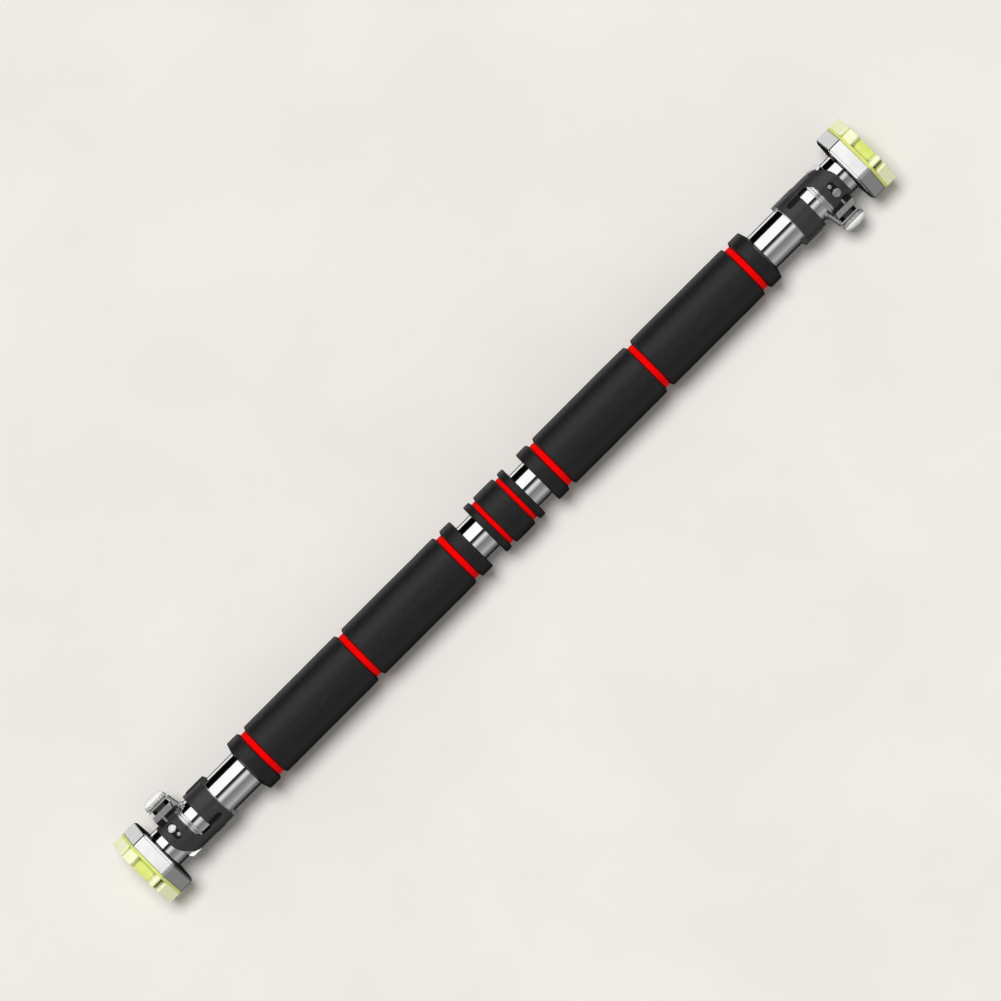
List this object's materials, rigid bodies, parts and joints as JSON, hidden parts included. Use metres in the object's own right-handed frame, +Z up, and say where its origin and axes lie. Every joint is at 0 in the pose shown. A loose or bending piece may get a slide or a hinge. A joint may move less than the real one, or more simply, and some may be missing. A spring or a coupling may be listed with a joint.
{
  "type": "doorway pull up bar",
  "caption": "Chrome bar with foam grips whose two ends screw out to press hexagonal rubber feet on a door frame, each locked by a thumb screw.",
  "frame": {"origin": "middle of the tube's axis, with both ends screwed in", "axes": "+X along the bar, +Z up from the flat of a hexagonal foot, +Y across; the thumb screw of the +X end points to -Y and 6.8 degrees down, that of the -X end to +Y and 6.8 degrees up"},
  "size_m": [0.77, 0.0716, 0.0546],
  "materials": {
    "chrome": "polished chrome plate",
    "grip_foam": "matte closed-cell foam",
    "red_foam": "matte foam, bright red",
    "black_foam": "matte foam end rings",
    "lock_plastic": "satin dark grey",
    "steel": "zinc plated steel",
    "nylon": "natural nylon",
    "black_plastic": "black plastic",
    "green_rubber": "yellow-green rubber",
    "pale_rubber": "pale yellow rubber"
  },
  "bodies": {
    "bar": {"main_tube": "chrome", "centre_sleeve": "grip_foam", "centre_band_left": "red_foam", "centre_ring_left": "black_foam", "left_ring_inner": "black_foam", "left_band_inner": "red_foam", "left_sleeve_inner": "grip_foam", "left_band_middle": "red_foam", "left_sleeve_outer": "grip_foam", "left_band_outer": "red_foam", "left_ring_outer": "black_foam", "left_thread_nut": "steel", "left_mouth_ring": "black_plastic", "left_lock_cover": "lock_plastic", "left_saddle": "chrome", "left_cover_studs": "chrome", "left_lock_block": "steel", "left_jam_nut": "chrome", "left_bracket": "chrome", "centre_band_right": "red_foam", "centre_ring_right": "black_foam", "right_ring_inner": "black_foam", "right_band_inner": "red_foam", "right_sleeve_inner": "grip_foam", "right_band_middle": "red_foam", "right_sleeve_outer": "grip_foam", "right_band_outer": "red_foam", "right_ring_outer": "black_foam", "right_thread_nut": "steel", "right_mouth_ring": "black_plastic", "right_lock_cover": "lock_plastic", "right_saddle": "chrome", "right_cover_studs": "chrome", "right_lock_block": "steel", "right_jam_nut": "chrome", "right_bracket": "chrome"},
    "left_guide": {"left_guide_bush": "nylon"},
    "left_end": {"left_screw": "steel", "left_spindle": "steel", "left_guide_nut": "steel", "left_cup": "chrome", "left_foot_flange": "steel", "left_pad": "green_rubber", "left_tread": "pale_rubber"},
    "left_washer": {"left_knob_washer": "steel"},
    "left_knob": {"left_knob": "chrome", "left_thumb_screw": "steel"},
    "right_guide": {"right_guide_bush": "nylon"},
    "right_end": {"right_screw": "steel", "right_spindle": "steel", "right_guide_nut": "steel", "right_cup": "chrome", "right_foot_flange": "steel", "right_pad": "green_rubber", "right_tread": "pale_rubber"},
    "right_washer": {"right_knob_washer": "steel"},
    "right_knob": {"right_knob": "chrome", "right_thumb_screw": "steel"}
  },
  "joints": [
    {"name": "left_extend", "type": "slide", "parent": "bar", "child": "left_guide", "axis": [-1, 0, 0], "range_m": [0, 0.16]},
    {"name": "left_screw_turn", "type": "hinge", "parent": "left_guide", "child": "left_end", "pos_m": [-0.3604, 0, 0], "axis": [1, 0, 0], "range_deg": [0, 14400]},
    {"name": "left_knob_travel", "type": "slide", "parent": "bar", "child": "left_washer", "axis": [0, 0.993, 0.1184], "range_m": [0, 0.005]},
    {"name": "left_knob_turn", "type": "hinge", "parent": "left_washer", "child": "left_knob", "pos_m": [-0.3395, 0.02979, 0.00355], "axis": [0, 0.993, 0.1184], "range_deg": [0, 1440]},
    {"name": "right_extend", "type": "slide", "parent": "bar", "child": "right_guide", "axis": [1, 0, 0], "range_m": [0, 0.16]},
    {"name": "right_screw_turn", "type": "hinge", "parent": "right_guide", "child": "right_end", "pos_m": [0.3604, 0, 0], "axis": [1, 0, 0], "range_deg": [0, 14400]},
    {"name": "right_knob_travel", "type": "slide", "parent": "bar", "child": "right_washer", "axis": [0, -0.993, -0.1184], "range_m": [0, 0.005]},
    {"name": "right_knob_turn", "type": "hinge", "parent": "right_washer", "child": "right_knob", "pos_m": [0.3395, -0.02979, -0.00355], "axis": [0, -0.993, -0.1184], "range_deg": [0, 1440]}
  ],
  "couplings": [
    {"joint": "left_screw_turn", "follows": "left_extend", "rad_per_m": 1570.8},
    {"joint": "left_knob_turn", "follows": "left_knob_travel", "rad_per_m": 5026.5},
    {"joint": "right_screw_turn", "follows": "right_extend", "rad_per_m": 1570.8},
    {"joint": "right_knob_turn", "follows": "right_knob_travel", "rad_per_m": 5026.5}
  ]
}
